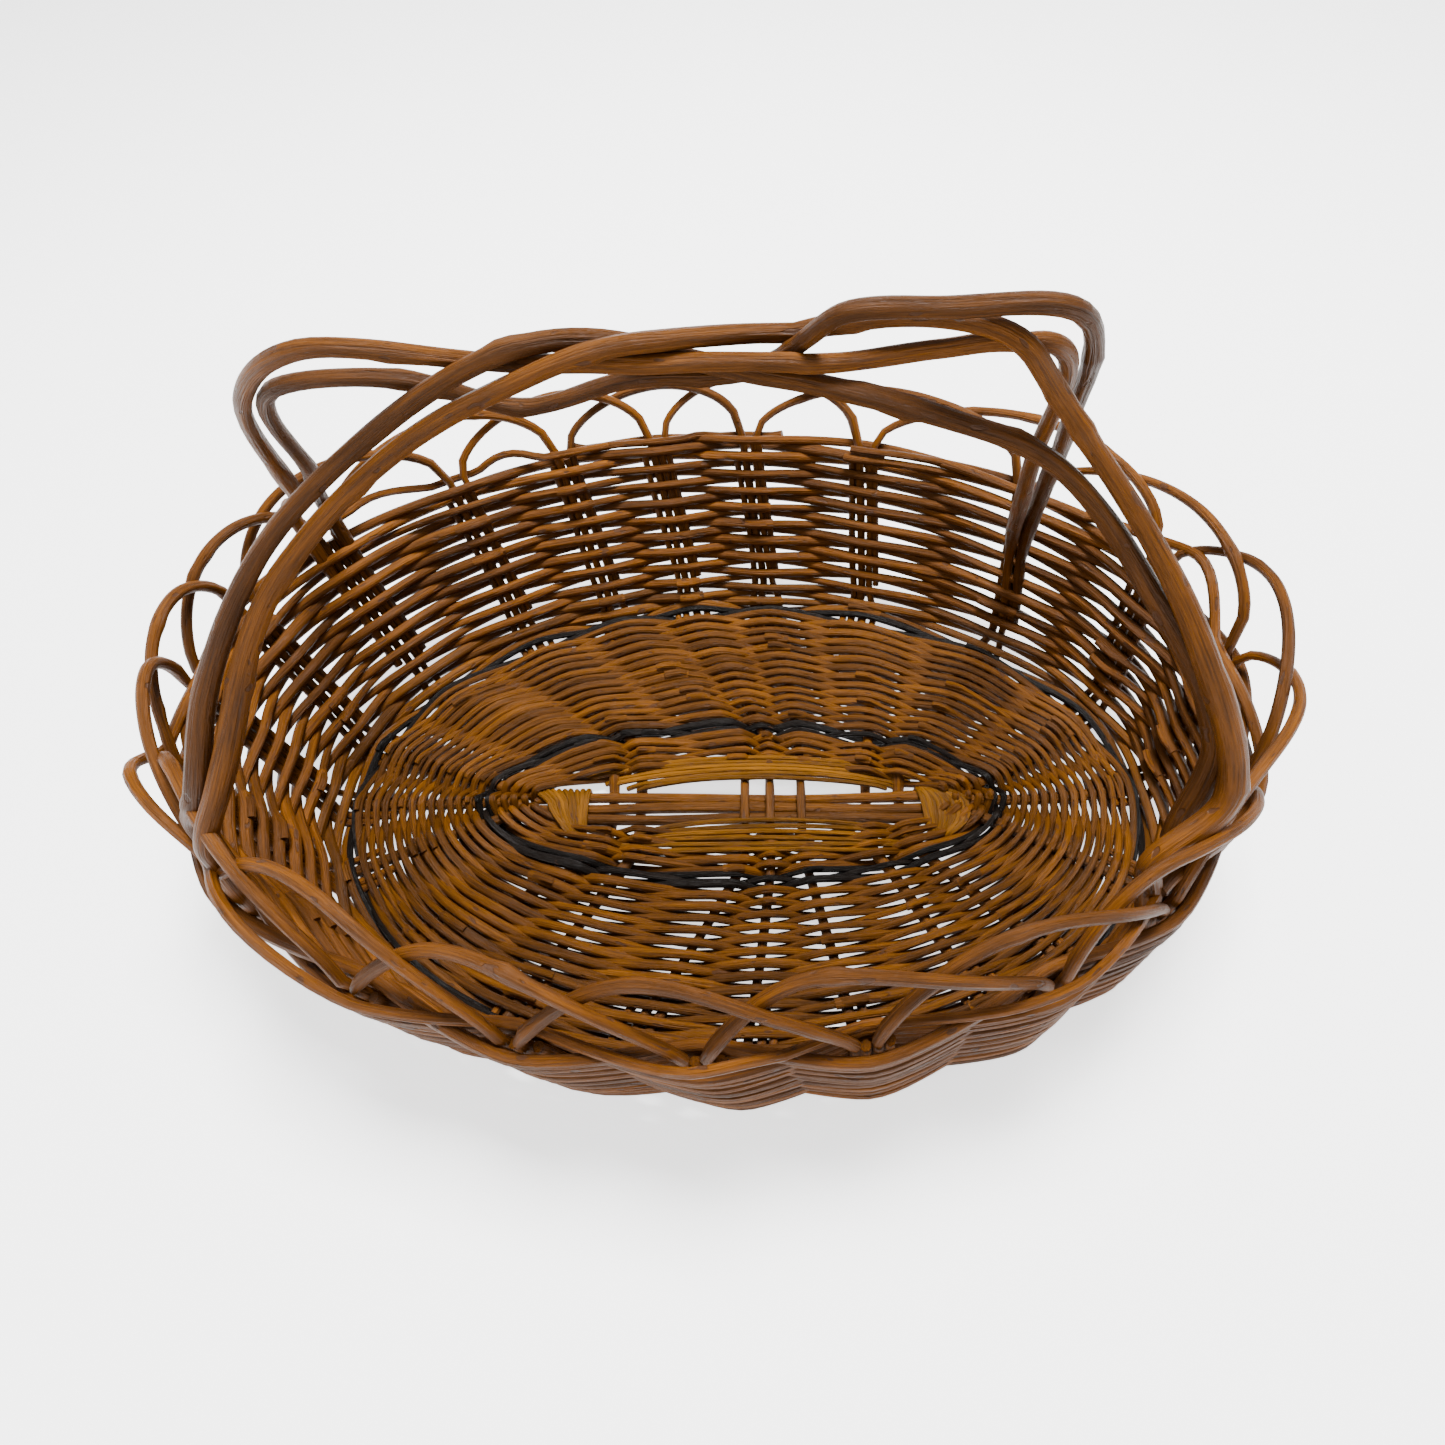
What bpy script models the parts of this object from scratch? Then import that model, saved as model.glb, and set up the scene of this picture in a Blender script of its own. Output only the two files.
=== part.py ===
"""Oval woven willow basket: a crowned stick base, a flared wall woven round twenty groups of
stakes, an open border of crossing arches, and a fixed double hoop handle of four rods."""

import math

import bmesh
import bpy
import numpy as np
from mathutils import Vector

# ---- driving dimensions, in metres and degrees ------------------------------------------------
RIM_HALF_LENGTH = 0.2200
RIM_HALF_WIDTH = 0.1539
RIM_HEIGHT = 0.0885
BASE_LEAN = (0.0140, -0.0177)       # the base sits this far off the rim's centre
ARCH_HEIGHT = 0.0290                # border arches, above the top row
ARCH_LEAN = 0.20                    # how far the arches lean out, as a share of their height
ARCH_CROSSING = 0.0027              # crossing arches pass this far inside and outside
GAP = 0.0004                        # clearance left between neighbouring pieces

STICK_RADIUS = 0.0025               # base sticks
STAKE_RADIUS = 0.0021               # stakes and border arches
TAIL_RADIUS = 0.0021                # sharpened handle ends inside the wall
HANDLE_RADIUS = 0.0032              # handle rods over the top
LEG_RADIUS = 0.0042                 # handle rods where they leave the wall
WEAVE_HALF_THICKNESS = 0.0014       # half the thickness of a woven band
WEAVE_SWING = 0.0046                # how far a band passes inside or outside the stakes
STICK_PITCH = 0.0055                # the three long base sticks lie side by side
CORE_HALF = 0.0085                  # half the width of the three long sticks together
STAKE_SIDE = 0.0026                 # a rising and a landing rod share each group
STAKE_FOOT_SIDE = 0.0058            # a stake's foot lies beside its base stick
TAIL_SIDE = 0.0074                  # handle tails lie outside the two stakes
FLAT_HALF = 0.15                    # flat part of a band at a group, as a share of one bay
REST_HEIGHT = WEAVE_SWING + WEAVE_HALF_THICKNESS    # the lowest that the middle surface comes
CENTRE_SHIFT = (0.0048, -0.0053)    # brings the middle of the whole basket over the origin

# Half length, half width, height and share of the base's lean, from the core out to the rim.
PROFILE = (
    (0.1120, 0.0300, 0.0095, 1.00),     # 0 core
    (0.1300, 0.0480, 0.0080, 1.00),     # 1 inner dark ring
    (0.1650, 0.0900, 0.0057, 1.00),     # 2 the ring that the basket rests on
    (0.1887, 0.1225, 0.0055, 1.00),     # 3 outer dark ring
    (0.1990, 0.1330, 0.0150, 0.93),     # 4 turn from base to wall
    (0.2070, 0.1410, 0.0420, 0.60),     # 5 half way up the wall
    (RIM_HALF_LENGTH, RIM_HALF_WIDTH, RIM_HEIGHT, 0.00),
)
RIM = len(PROFILE) - 1
OUTER_RING = 3
STICK_END = 3.2                         # where the base sticks stop
STAKE_START = 2.2                       # where the stakes are pushed in beside them
TAIL_END = 4.5                          # how far down the wall arches and handle rods reach

# Bearing of each stake group at the rim, anticlockwise from +X.
GROUP_BEARINGS = (3, 23, 46, 69, 85, 97.5, 110.5, 126, 147, 164,
                  180, 197, 217, 238.5, 255, 271, 285.5, 304, 319, 340)
GROUPS = len(GROUP_BEARINGS)

# Where the cross sticks lie along the core, left to right, and which of them pass over it.
CROSS_STICK_X = (-0.048, -0.034, 0.017, 0.029, 0.044, 0.076, 0.092)
CROSS_STICK_OVER = (False, False, True, True, True, False, False)
CROSS_BACK_GROUPS = (8, 7, 6, 5, 4, 3, 2)
CROSS_FRONT_GROUPS = (12, 13, 14, 15, 16, 17, 18)
LONG_LEFT_GROUPS = (11, 10, 9)          # front, middle and back long stick
LONG_RIGHT_GROUPS = (19, 0, 1)
LONG_STICK_BEARING = 14.0               # how far the long sticks fan out at the core

# The core's wraps and packings, measured from the middle of the base.
WRAP_ENDS = {"core_wrap_left": (-0.073, -0.096), "core_wrap_right": (0.085, 0.101)}
WRAP_THICKNESS = 0.0024
PACKING_ENDS = (-0.024, 0.068)
PACKING_EDGES = (0.0095, 0.0245)
PACKING_HEIGHT = PROFILE[0][2] + 0.0084
PACKING_SLOPE = 1.0 / 3.0               # the packings fall away from the core

# Woven bands: name, first and last place on PROFILE, steps between them, and colour.
BANDS = (
    ("inner_base_weave", 0.40, 0.80, 1, "honey"),
    ("inner_dark_ring", 0.80, 1.16, 1, "dark"),
    ("outer_base_weave", 1.16, 2.84, 2, "honey"),
    ("outer_dark_ring", 2.84, 3.10, 1, "dark"),
    ("wall_weave_foot", 3.10, 4.20, 2, "honey"),
    ("wall_weave_lower", 4.20, 4.90, 1, "honey"),
    ("wall_weave_middle", 4.90, 5.30, 1, "russet"),
    ("wall_weave_upper", 5.30, 5.65, 1, "russet"),
    ("wall_weave_top", 5.65, 6.00, 1, "russet"),
)

# Handle rods, left foot to right foot: the group at each foot, the side of it that the tail
# lies on, and the points of the route between them.
HANDLE_ROUTES = {
    "handle_rod_front_outer": (12, -1, 18, 1, (
        (-0.167, -0.078, 0.123), (-0.153, -0.057, 0.158), (-0.124, -0.035, 0.196),
        (-0.084, -0.018, 0.224), (-0.044, -0.008, 0.242), (-0.006, -0.006, 0.245),
        (0.030, -0.010, 0.239), (0.074, -0.017, 0.226), (0.107, -0.024, 0.214),
        (0.138, -0.041, 0.186), (0.171, -0.068, 0.141))),
    "handle_rod_front_inner": (12, 1, 18, -1, (
        (-0.152, -0.067, 0.143), (-0.124, -0.041, 0.186), (-0.076, -0.020, 0.221),
        (-0.037, -0.012, 0.235), (-0.001, -0.008, 0.241), (0.043, -0.005, 0.247),
        (0.077, -0.008, 0.243), (0.100, -0.015, 0.230), (0.122, -0.027, 0.210),
        (0.153, -0.051, 0.170), (0.174, -0.079, 0.122))),
    "handle_rod_back_upper": (8, 1, 2, 1, (
        (-0.161, 0.048, 0.144), (-0.127, 0.001, 0.223), (-0.095, -0.013, 0.247),
        (-0.050, -0.009, 0.240), (-0.020, -0.009, 0.240), (0.008, 0.000, 0.225),
        (0.042, -0.004, 0.231), (0.071, -0.012, 0.245), (0.092, -0.019, 0.257),
        (0.107, -0.008, 0.238), (0.121, 0.029, 0.172))),
    "handle_rod_back_lower": (8, -1, 2, -1, (
        (-0.139, 0.031, 0.173), (-0.116, -0.002, 0.228), (-0.076, -0.004, 0.232),
        (-0.047, 0.005, 0.216), (-0.008, -0.005, 0.233), (0.031, -0.005, 0.233),
        (0.047, -0.018, 0.255), (0.073, -0.018, 0.255), (0.104, -0.015, 0.251),
        (0.1255, 0.021, 0.193), (0.140, 0.057, 0.131))),
}
# Where one handle rod lies over another: over, under and the place along X.
HANDLE_CROSSINGS = (
    ("handle_rod_front_outer", "handle_rod_back_upper", -0.087),
    ("handle_rod_back_lower", "handle_rod_front_outer", -0.100),
    ("handle_rod_front_inner", "handle_rod_back_lower", -0.088),
    ("handle_rod_front_inner", "handle_rod_back_upper", -0.035),
    ("handle_rod_back_lower", "handle_rod_back_upper", -0.042),
    ("handle_rod_front_inner", "handle_rod_front_outer", -0.025),
    ("handle_rod_back_upper", "handle_rod_back_lower", 0.012),
    ("handle_rod_back_upper", "handle_rod_front_outer", 0.020),
    ("handle_rod_back_lower", "handle_rod_front_inner", 0.045),
    ("handle_rod_front_inner", "handle_rod_back_upper", 0.073),
    ("handle_rod_front_inner", "handle_rod_front_outer", 0.160),
)
CROSSING_REACH = 0.022
HANDLE_CLEAR = 0.0017                   # clearance between handle rods
PUSH_ROUNDS = 240
LIFT = Vector((0.0, -0.5, 0.866))       # the way an upper rod is lifted off a lower one

COLOURS = {
    "honey": (0.47, 0.22, 0.06),
    "russet": (0.36, 0.15, 0.05),
    "dark": (0.035, 0.025, 0.018),
    "golden": (0.56, 0.29, 0.07),
}


# ---- curves and the basket's own surface -------------------------------------------------------
def through(points, place):
    """A point on the smooth curve through points; place counts from 0 at the first point."""
    last = len(points) - 1
    start = min(max(int(math.floor(place)), 0), last - 1)
    share = place - start
    before, here = points[max(start - 1, 0)], points[start]
    there, after = points[start + 1], points[min(start + 2, last)]
    return tuple(
        b + 0.5 * share * (c - a + share * (2 * a - 5 * b + 4 * c - d
                                            + share * (3 * (b - c) + d - a)))
        for a, b, c, d in zip(before, here, there, after))


def core_bearing(group):
    """Bearing of a group where its base stick leaves the core."""
    half_length = PROFILE[0][0]
    if group in CROSS_BACK_GROUPS:
        x = CROSS_STICK_X[CROSS_BACK_GROUPS.index(group)]
        return math.degrees(math.acos((x - BASE_LEAN[0]) / half_length))
    if group in CROSS_FRONT_GROUPS:
        x = CROSS_STICK_X[CROSS_FRONT_GROUPS.index(group)]
        return 360.0 - math.degrees(math.acos((x - BASE_LEAN[0]) / half_length))
    fan = {1: LONG_STICK_BEARING, 9: 180.0 - LONG_STICK_BEARING,
           11: 180.0 + LONG_STICK_BEARING, 19: 360.0 - LONG_STICK_BEARING}
    return fan.get(group, 180.0 if group == 10 else 0.0)


CORE_BEARINGS = tuple(core_bearing(group) for group in range(GROUPS))


def group_bearing(group, place):
    """Bearing of a whole-numbered group: sticks fan out from the core to the rim's bearings."""
    share = min(max(place / OUTER_RING, 0.0), 1.0)
    share = share * share * (3.0 - 2.0 * share)
    turn = 360.0 * (group // GROUPS)
    start, end = CORE_BEARINGS[group % GROUPS], GROUP_BEARINGS[group % GROUPS]
    return turn + start + share * (end - start)


def skin(bay, place):
    """A point on the basket's middle surface; bay counts the stake groups round it."""
    group = math.floor(bay)
    low, high = group_bearing(group, place), group_bearing(group + 1, place)
    angle = math.radians(low + (bay - group) * (high - low))
    half_length, half_width, height, lean = through(PROFILE, place)
    height = max(height, REST_HEIGHT)
    return Vector((half_length * math.cos(angle) + lean * BASE_LEAN[0],
                   half_width * math.sin(angle) + lean * BASE_LEAN[1], height))


def on_basket(bay, place, out=0.0, side=0.0):
    """A point moved off the middle surface: out towards the outside, side across a stake."""
    step = 0.01
    along = skin(bay + step, place) - skin(bay - step, place)
    up = skin(bay, min(place + step, RIM)) - skin(bay, max(min(place, RIM) - step, 0.0))
    normal = along.cross(up).normalized()
    across = up.cross(normal).normalized()
    return skin(bay, place) + normal * out + across * side


def rim_direction(bay):
    """The way the wall points at its top, a little outwards."""
    return (skin(bay, RIM) - skin(bay, RIM - 0.5)).normalized()


# ---- objects -----------------------------------------------------------------------------------
def finish(piece_name, data, colour):
    """Puts mesh or curve data in the scene with a willow material of its own."""
    material = bpy.data.materials.new(piece_name)
    material.use_nodes = True
    shader = material.node_tree.nodes["Principled BSDF"]
    shader.inputs["Base Color"].default_value = (*COLOURS[colour], 1.0)
    shader.inputs["Roughness"].default_value = 0.45
    shader.inputs["Metallic"].default_value = 0.0
    data.materials.append(material)
    piece = bpy.data.objects.new(piece_name, data)
    piece.location = (*CENTRE_SHIFT, 0.0)
    bpy.context.scene.collection.objects.link(piece)
    return piece


def rod(piece_name, points, radii, colour):
    """A round rod through points, with a radius at each of them."""
    curve = bpy.data.curves.new(piece_name, "CURVE")
    curve.dimensions = "3D"
    curve.bevel_depth = max(radii)
    curve.bevel_resolution = 1
    curve.use_fill_caps = True
    curve.resolution_u = 1
    curve.render_resolution_u = 0
    spline = curve.splines.new("POLY")
    spline.points.add(len(points) - 1)
    for knot, point, radius in zip(spline.points, points, radii):
        knot.co = (*point, 1.0)
        knot.radius = radius / curve.bevel_depth
    return finish(piece_name, curve, colour)


def sweep(piece_name, sections, closed, colour):
    """A body skinned over a row of equal sections, joined into a ring or capped at its ends."""
    mesh = bmesh.new()
    rings = [[mesh.verts.new(point) for point in section] for section in sections]
    count = len(rings[0])
    pairs = list(zip(rings, rings[1:]))
    if closed:
        pairs.append((rings[-1], rings[0]))
    else:
        mesh.faces.new(rings[0])
        mesh.faces.new(list(reversed(rings[-1])))
    for near, far in pairs:
        for i in range(count):
            j = (i + 1) % count
            mesh.faces.new((near[i], far[i], far[j], near[j]))
    bmesh.ops.recalc_face_normals(mesh, faces=mesh.faces)
    bmesh.ops.triangulate(mesh, faces=mesh.faces)
    data = bpy.data.meshes.new(piece_name)
    mesh.to_mesh(data)
    mesh.free()
    data.shade_smooth()
    data.set_sharp_from_angle(angle=math.radians(35))
    return finish(piece_name, data, colour)


# ---- base --------------------------------------------------------------------------------------
def ease(share):
    """A smooth step from 0 to 1."""
    share = min(max(share, 0.0), 1.0)
    return 0.5 - 0.5 * math.cos(math.pi * share)


def spread_places(first, last, count):
    """Evenly spaced numbers from first to last."""
    return [first + (last - first) * i / (count - 1) for i in range(count)]


def long_sticks():
    """Three sticks side by side along the core, whose ends fan out under the weave."""
    names = ("long_stick_front", "long_stick_middle", "long_stick_back")
    centre_x, centre_y = BASE_LEAN
    height = PROFILE[0][2]
    for row, piece_name in enumerate(names):
        y = centre_y + (row - 1) * STICK_PITCH
        left = [on_basket(LONG_LEFT_GROUPS[row], place)
                for place in spread_places(STICK_END, 0.0, 5)]
        right = [on_basket(LONG_RIGHT_GROUPS[row], place)
                 for place in spread_places(0.0, STICK_END, 5)]
        core = [Vector((centre_x + x, y, height)) for x in (-0.100, -0.072, 0.0, 0.072, 0.103)]
        points = left + core + right
        rod(piece_name, points, [STICK_RADIUS] * len(points), "honey")


def cross_sticks():
    """Seven sticks across the core: three pass over the long sticks, two pairs under."""
    centre_y = BASE_LEAN[1]
    height = PROFILE[0][2]
    lift = 2.0 * STICK_RADIUS + GAP
    for number, x in enumerate(CROSS_STICK_X):
        way = 1.0 if CROSS_STICK_OVER[number] else -1.0
        front = [on_basket(CROSS_FRONT_GROUPS[number], place)
                 for place in spread_places(STICK_END, 0.0, 5)]
        back = [on_basket(CROSS_BACK_GROUPS[number], place)
                for place in spread_places(0.0, STICK_END, 5)]
        core = []
        for y in (-0.0200, -0.0155, -0.0115, -CORE_HALF, CORE_HALF, 0.0115, 0.0155, 0.0200):
            share = ease((abs(y) - CORE_HALF) / 0.0115)
            core.append(Vector((x, centre_y + y, height + way * lift * (1.0 - share))))
        points = front + core + back
        rod(f"cross_stick_{number + 1}", points, [STICK_RADIUS] * len(points), "honey")


def stadium(x, centre_y, height, half_width, half_height):
    """A flat oval section across the long sticks."""
    flat = half_width - half_height
    points = []
    for side in (1.0, -1.0):
        for turn in (-90, -45, 0, 45, 90):
            angle = math.radians(turn)
            points.append(Vector((
                x, centre_y + side * (flat + half_height * math.cos(angle)),
                height + side * half_height * math.sin(angle))))
    return points


def core_wraps():
    """A lapped sleeve at each end of the core, wider towards the outside."""
    centre_x, centre_y = BASE_LEAN
    height = PROFILE[0][2]
    hole_width = STICK_PITCH + STICK_RADIUS + GAP
    hole_height = STICK_RADIUS + GAP
    for piece_name, (near, far) in WRAP_ENDS.items():
        loops = []
        for x, wall in ((near, 0.0), (far, 0.0), (far, WRAP_THICKNESS * 1.6), (near, WRAP_THICKNESS)):
            loops.append(stadium(centre_x + x, centre_y, height, hole_width + wall, hole_height + wall))
        sweep(piece_name, loops, True, "golden")


def core_packing():
    """A lens of thin rods on each side of the core, lying over the middle cross sticks."""
    centre_y = BASE_LEAN[1]
    left, right = PACKING_ENDS
    near, far = PACKING_EDGES
    for piece_name, side in (("core_packing_back", 1.0), ("core_packing_front", -1.0)):
        sections = []
        for share in spread_places(0.06, 0.94, 9):
            x = left + (right - left) * share
            middle = 0.5 * (near + far)
            reach = 0.5 * (far - near) * math.sin(math.pi * share)
            section = []
            for y, up in ((middle - reach, 0.0), (middle + reach, 0.0),
                          (middle + reach, WRAP_THICKNESS), (middle - reach, WRAP_THICKNESS)):
                height = PACKING_HEIGHT - (y - near) * PACKING_SLOPE + up
                section.append(Vector((x, centre_y + side * y, height)))
            sections.append(section)
        sweep(piece_name, sections, False, "golden")


# ---- woven bands -------------------------------------------------------------------------------
def woven_band(piece_name, first, last, steps, phase, colour):
    """A ring of rows that passes inside one stake group and outside the next."""
    places = spread_places(first, last, steps + 1)
    trim = GAP / (skin(5.0, last) - skin(5.0, first)).length * (last - first)
    places[0] += trim
    places[-1] -= trim
    sections = []
    for group in range(GROUPS):
        way = 1.0 if (group + phase) % 2 else -1.0
        for bay, swing in ((group - FLAT_HALF, way), (group + FLAT_HALF, way),
                           (group + 0.5, 0.0)):
            middle = swing * WEAVE_SWING
            section = [on_basket(bay, place, middle + WEAVE_HALF_THICKNESS)
                       for place in places]
            section += [on_basket(bay, place, middle - WEAVE_HALF_THICKNESS)
                        for place in reversed(places)]
            sections.append(section)
    sweep(piece_name, sections, True, colour)


# ---- stakes and border -------------------------------------------------------------------------
def stake(group):
    """One rod: foot beside a base stick, up the wall, over two bays and down the third group."""
    foot = []
    for place in (STAKE_START, 2.8, 3.3, 3.8, 4.4, 5.2):
        side = STAKE_FOOT_SIDE + (STAKE_SIDE - STAKE_FOOT_SIDE) * ease((place - 3.3) / 0.9)
        foot.append(on_basket(group, place, 0.0, side))
    arch = []
    for share in (0.0, 0.06, 0.16, 0.28, 0.42, 0.58, 0.72, 0.84, 0.94, 1.0):
        bay = group + 2.0 * share
        side = STAKE_SIDE * (1.0 - 2.0 * share)
        height = ARCH_HEIGHT * max(math.sin(math.pi * share), 0.0) ** 0.6
        out = ARCH_LEAN * height - ARCH_CROSSING * math.sin(2.0 * math.pi * share)
        arch.append(on_basket(bay, RIM, out, side) + rim_direction(bay) * height)
    tail = [on_basket(group + 2, place, 0.0, -STAKE_SIDE) for place in (5.3, TAIL_END)]
    points = foot + arch + tail
    rod(f"stake_{group + 1:02d}", points, [STAKE_RADIUS] * len(points), "russet")


# ---- handle ------------------------------------------------------------------------------------
def handle_foot(group, side):
    """Points of a handle tail, from its sharpened end up to just above the rim."""
    across = side * TAIL_SIDE
    points = [on_basket(group, place, 0.0, across) for place in (TAIL_END, 5.0, 5.5)]
    points += [on_basket(group, 5.65, -0.0006, across), on_basket(group, RIM, -0.0050, across)]
    for height, inset in ((0.009, 0.0085), (0.019, 0.0125)):
        points.append(on_basket(group, RIM, -inset, across) + rim_direction(group) * height)
    return points


def knot_gap(one, other):
    """Spacing of two knots along a curve, so that long and short spans stay smooth."""
    return max((Vector(other) - Vector(one)).length ** 0.5, 1e-4)


def smooth_route(knots, parts):
    """Points on a smooth curve through unevenly spaced knots, parts of them to each span."""
    knots = [Vector(knot) for knot in knots]
    ends = [2.0 * knots[0] - knots[1]] + knots + [2.0 * knots[-1] - knots[-2]]
    points = []
    for a, b, c, d in zip(ends, ends[1:], ends[2:], ends[3:]):
        one = knot_gap(a, b)
        two = one + knot_gap(b, c)
        three = two + knot_gap(c, d)
        for i in range(parts):
            at = one + (two - one) * i / parts
            ab = a.lerp(b, at / one)
            bc = b.lerp(c, (at - one) / (two - one))
            cd = c.lerp(d, (at - two) / (three - two))
            abc = ab.lerp(bc, at / two)
            bcd = bc.lerp(cd, (at - one) / (three - one))
            points.append(abc.lerp(bcd, (at - one) / (two - one)))
    return points + [knots[-1]]


def handle_route(left_group, left_side, right_group, right_side, middle):
    """Even points along one handle rod, from its left tail to its right tail, with radii."""
    knots = handle_foot(left_group, left_side) + [Vector(point) for point in middle]
    knots += reversed(handle_foot(right_group, right_side))
    points = smooth_route(knots, 6)
    radii = []
    for x, y, z in points:
        grown = ease((z - RIM_HEIGHT - 0.001) / 0.024)
        slim = ease((z - 0.15) / 0.07)
        full = LEG_RADIUS + (HANDLE_RADIUS - LEG_RADIUS) * slim
        radii.append(TAIL_RADIUS + (full - TAIL_RADIUS) * grown)
    return np.array(points), np.array(radii)


def crossing_side(one, other, x):
    """1 where the first handle rod crosses over the second, -1 where under, 0 elsewhere."""
    side = np.zeros_like(x)
    for over, under, place in HANDLE_CROSSINGS:
        if {over, under} == {one, other}:
            side[np.abs(x - place) < CROSSING_REACH] = 1.0 if over == one else -1.0
    return side


def push_apart(routes, radii):
    """Lifts crossing handle rods off one another, and parts rods that lie side by side."""
    names = list(routes)
    lift = np.array(LIFT)
    shifts = {name: np.zeros_like(routes[name]) for name in names}
    for _ in range(PUSH_ROUNDS):
        pushes = {name: np.zeros_like(routes[name]) for name in names}
        for index, one in enumerate(names):
            for other in names[index + 1:]:
                a = routes[one] + shifts[one]
                b = routes[other] + shifts[other]
                apart = a[:, None] - b[None]
                distance = np.maximum(np.linalg.norm(apart, axis=2), 1e-6)
                lack = radii[one][:, None] + radii[other][None] + HANDLE_CLEAR - distance
                side = crossing_side(one, other, a[:, 0])[:, None, None]
                way = np.where(side == 0.0, apart / distance[:, :, None], side * lift)
                push = way * (np.maximum(lack, 0.0) * 0.5)[:, :, None]
                pushes[one] += push[np.arange(len(a)), lack.argmax(axis=1)]
                pushes[other] -= push[lack.argmax(axis=0), np.arange(len(b))]
        for name in names:
            free = np.clip((routes[name][:, 2] - 0.100) / 0.015, 0.0, 1.0)[:, None]
            shift = shifts[name] + pushes[name] * free
            shift[1:-1] = 0.8 * shift[1:-1] + 0.1 * (shift[:-2] + shift[2:])
            shifts[name] = shift * np.minimum(free * 4.0, 1.0)
    return {name: routes[name] + shifts[name] for name in names}


def handle():
    """Four rods: two from each side of the basket, plaited together over the top."""
    routes, radii = {}, {}
    for piece_name, plan in HANDLE_ROUTES.items():
        routes[piece_name], radii[piece_name] = handle_route(*plan)
    routes = push_apart(routes, radii)
    for piece_name, points in routes.items():
        rod(piece_name, points[::2], radii[piece_name][::2], "russet")


def main():
    for piece in list(bpy.data.objects):
        bpy.data.objects.remove(piece, do_unlink=True)
    long_sticks()
    cross_sticks()
    core_wraps()
    core_packing()
    for number, (piece_name, first, last, steps, colour) in enumerate(BANDS):
        woven_band(piece_name, first, last, steps, (number + 1) % 2, colour)
    for group in range(GROUPS):
        stake(group)
    handle()


main()
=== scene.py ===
"""Woven willow basket: every weaver, stake, wrap and handle rod as its own bark-covered rod."""
import math
import random

import bmesh
import bpy
import numpy as np
from bpy.props import FloatProperty, FloatVectorProperty, IntProperty, PointerProperty
from mathutils import Matrix, Vector, noise


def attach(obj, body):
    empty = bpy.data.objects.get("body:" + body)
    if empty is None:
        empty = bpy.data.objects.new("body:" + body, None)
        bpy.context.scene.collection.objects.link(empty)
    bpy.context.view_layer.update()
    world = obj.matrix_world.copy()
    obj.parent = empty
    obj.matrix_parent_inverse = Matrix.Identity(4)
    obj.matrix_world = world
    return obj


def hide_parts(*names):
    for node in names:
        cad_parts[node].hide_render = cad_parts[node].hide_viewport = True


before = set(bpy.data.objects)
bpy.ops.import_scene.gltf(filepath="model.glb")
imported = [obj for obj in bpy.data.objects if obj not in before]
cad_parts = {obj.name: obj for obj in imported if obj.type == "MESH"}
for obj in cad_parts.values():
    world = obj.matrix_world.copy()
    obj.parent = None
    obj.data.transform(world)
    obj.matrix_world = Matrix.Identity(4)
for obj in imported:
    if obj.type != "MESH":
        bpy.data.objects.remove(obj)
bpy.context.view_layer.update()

bl_info = {
    "name": "Willow basket",
    "version": (1, 0, 0),
    "blender": (4, 5, 0),
    "location": "3D View > Sidebar > Willow",
    "description": "Weaves an oval willow basket with an arched border and a plaited handle",
    "category": "Object",
}


# ---- the basket's shape, in metres and degrees ----
RIM_HALF_LENGTH = 0.2200
RIM_HALF_WIDTH = 0.1539
RIM_HEIGHT = 0.0885
# The weave's middle surface is nowhere lower than this, so that its weavers stand on the floor.
REST_HEIGHT = 0.0070
# Middle of the rim, and how far the middle of the base lies from it.
CENTRE = Vector((0.0048, -0.0053, 0.0))
BASE_LEAN = (0.0140, -0.0177)
STICK_RADIUS = 0.0025
STICK_PITCH = 0.0055
CORE_HEIGHT = 0.0095
CORE_MIDDLE = Vector((0.0188, -0.0265, 0.0082))
# Half length, half width, height and share of the base's lean, from the core out to the rim.
# A place on the basket counts along these rings: 0 is round the core, 3 the outer dark ring.
PROFILE = (
    (0.1120, 0.0300, CORE_HEIGHT, 1.00),
    (0.1300, 0.0480, 0.0080, 1.00),
    (0.1650, 0.0900, 0.0057, 1.00),
    (0.1887, 0.1225, 0.0055, 1.00),
    (0.1990, 0.1330, 0.0150, 0.93),
    (0.2070, 0.1410, 0.0420, 0.60),
    (RIM_HALF_LENGTH, RIM_HALF_WIDTH, RIM_HEIGHT, 0.00),
)
RIM = len(PROFILE) - 1
OUTER_RING = 3
STICK_END = 3.2
# Loss of half length and half width for each unit of place inside the core.
CORE_TAPER = 0.0090
GROUP_BEARINGS = (3, 23, 46, 69, 85, 97.5, 110.5, 126, 147, 164,
                  180, 197, 217, 238.5, 255, 271, 285.5, 304, 319, 340)
GROUPS = len(GROUP_BEARINGS)
# One stake group on each of the basket's four sides.
QUARTERS = (0, 5, 10, 15)
CROSS_STICK_X = (-0.048, -0.034, 0.017, 0.029, 0.044, 0.076, 0.092)
CROSS_STICK_OVER = (False, False, True, True, True, False, False)
CROSS_BACK_GROUPS = (8, 7, 6, 5, 4, 3, 2)
CROSS_FRONT_GROUPS = (12, 13, 14, 15, 16, 17, 18)
LONG_LEFT_GROUPS = (11, 10, 9)
LONG_RIGHT_GROUPS = (19, 0, 1)
LONG_STICK_BEARING = 14.0
HANDLE_GROUPS = (2, 8, 12, 18)
# The two handle rods at this group enter the wall on its inner face, below the rim.
INNER_FOOT_GROUP = 2

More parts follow.
